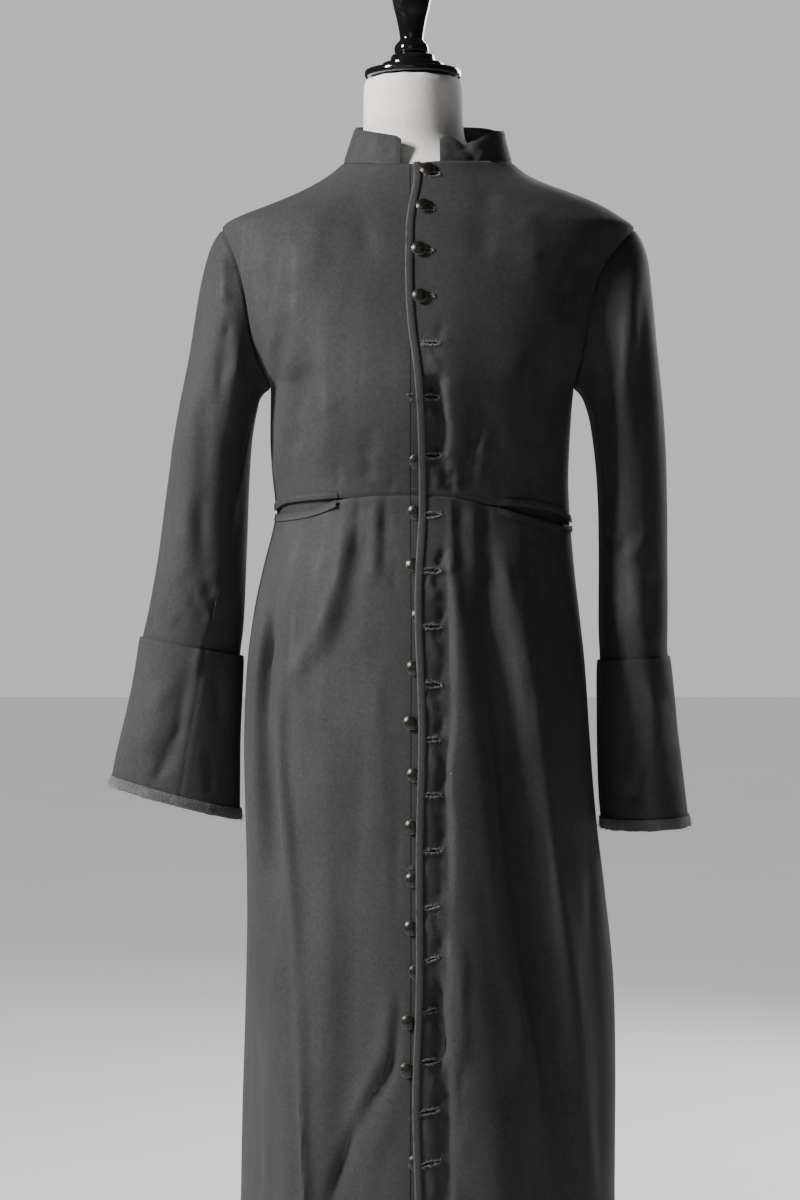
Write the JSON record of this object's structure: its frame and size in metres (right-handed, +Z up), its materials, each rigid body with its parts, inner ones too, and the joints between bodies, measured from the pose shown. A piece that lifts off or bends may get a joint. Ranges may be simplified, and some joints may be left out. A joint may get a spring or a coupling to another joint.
{
  "type": "clergy coat on a limbless dress form with a stand",
  "caption": "Long charcoal wool clergy coat with a stand collar, lapped button front, pocket mouths in the waist seam and deep cuffs, on a limbless dress form with a round stand.",
  "frame": {"origin": "centre of the underside of the round base, on the floor under the axis of the stand pole", "axes": "+Z up, the front of the coat faces -Y, +X is the wearer's left side"},
  "size_m": [0.6423, 0.4937, 1.7981],
  "materials": {
    "coat_cloth": "matte wool twill",
    "pocket_cloth": "matte plain weave",
    "cuff_braid": "worn matte braid",
    "button_metal": "dark satin",
    "form_cloth": "matte plain cotton",
    "form_wood": "black gloss lacquer",
    "stand_metal": "black satin paint"
  },
  "bodies": {
    "root": {"front_right": "coat_cloth", "front_left": "coat_cloth", "back_right": "coat_cloth", "back_left": "coat_cloth", "skirt_front_right": "coat_cloth", "skirt_front_left": "coat_cloth", "skirt_back_right": "coat_cloth", "skirt_back_left": "coat_cloth", "edge_strip_upper": "coat_cloth", "edge_strip_lower": "coat_cloth", "pocket_right_upper": "coat_cloth", "pocket_right_lower": "coat_cloth", "pocket_left_upper": "coat_cloth", "pocket_left_lower": "coat_cloth", "collar": "coat_cloth", "sleeve_right_top": "coat_cloth", "sleeve_right_under": "coat_cloth", "cuff_right_top": "coat_cloth", "cuff_right_under": "coat_cloth", "sleeve_left_top": "coat_cloth", "sleeve_left_under": "coat_cloth", "cuff_left_top": "coat_cloth", "cuff_left_under": "coat_cloth", "pocket_right_cloth": "pocket_cloth", "cuff_right_braid": "cuff_braid", "pocket_left_cloth": "pocket_cloth", "cuff_left_braid": "cuff_braid", "button_01": "button_metal", "button_02": "button_metal", "button_03": "button_metal", "button_04": "button_metal", "button_05": "button_metal", "button_06": "button_metal", "button_07": "button_metal", "button_08": "button_metal", "button_09": "button_metal", "button_10": "button_metal", "button_11": "button_metal", "button_12": "button_metal", "button_13": "button_metal", "button_14": "button_metal", "button_15": "button_metal", "button_16": "button_metal", "button_17": "button_metal", "button_18": "button_metal", "button_19": "button_metal", "button_20": "button_metal", "button_21": "button_metal", "button_22": "button_metal", "form_torso": "form_cloth", "form_neck_cap": "form_wood", "form_finial": "form_wood", "stand_base": "stand_metal", "stand_pole": "stand_metal"}
  },
  "joints": []
}
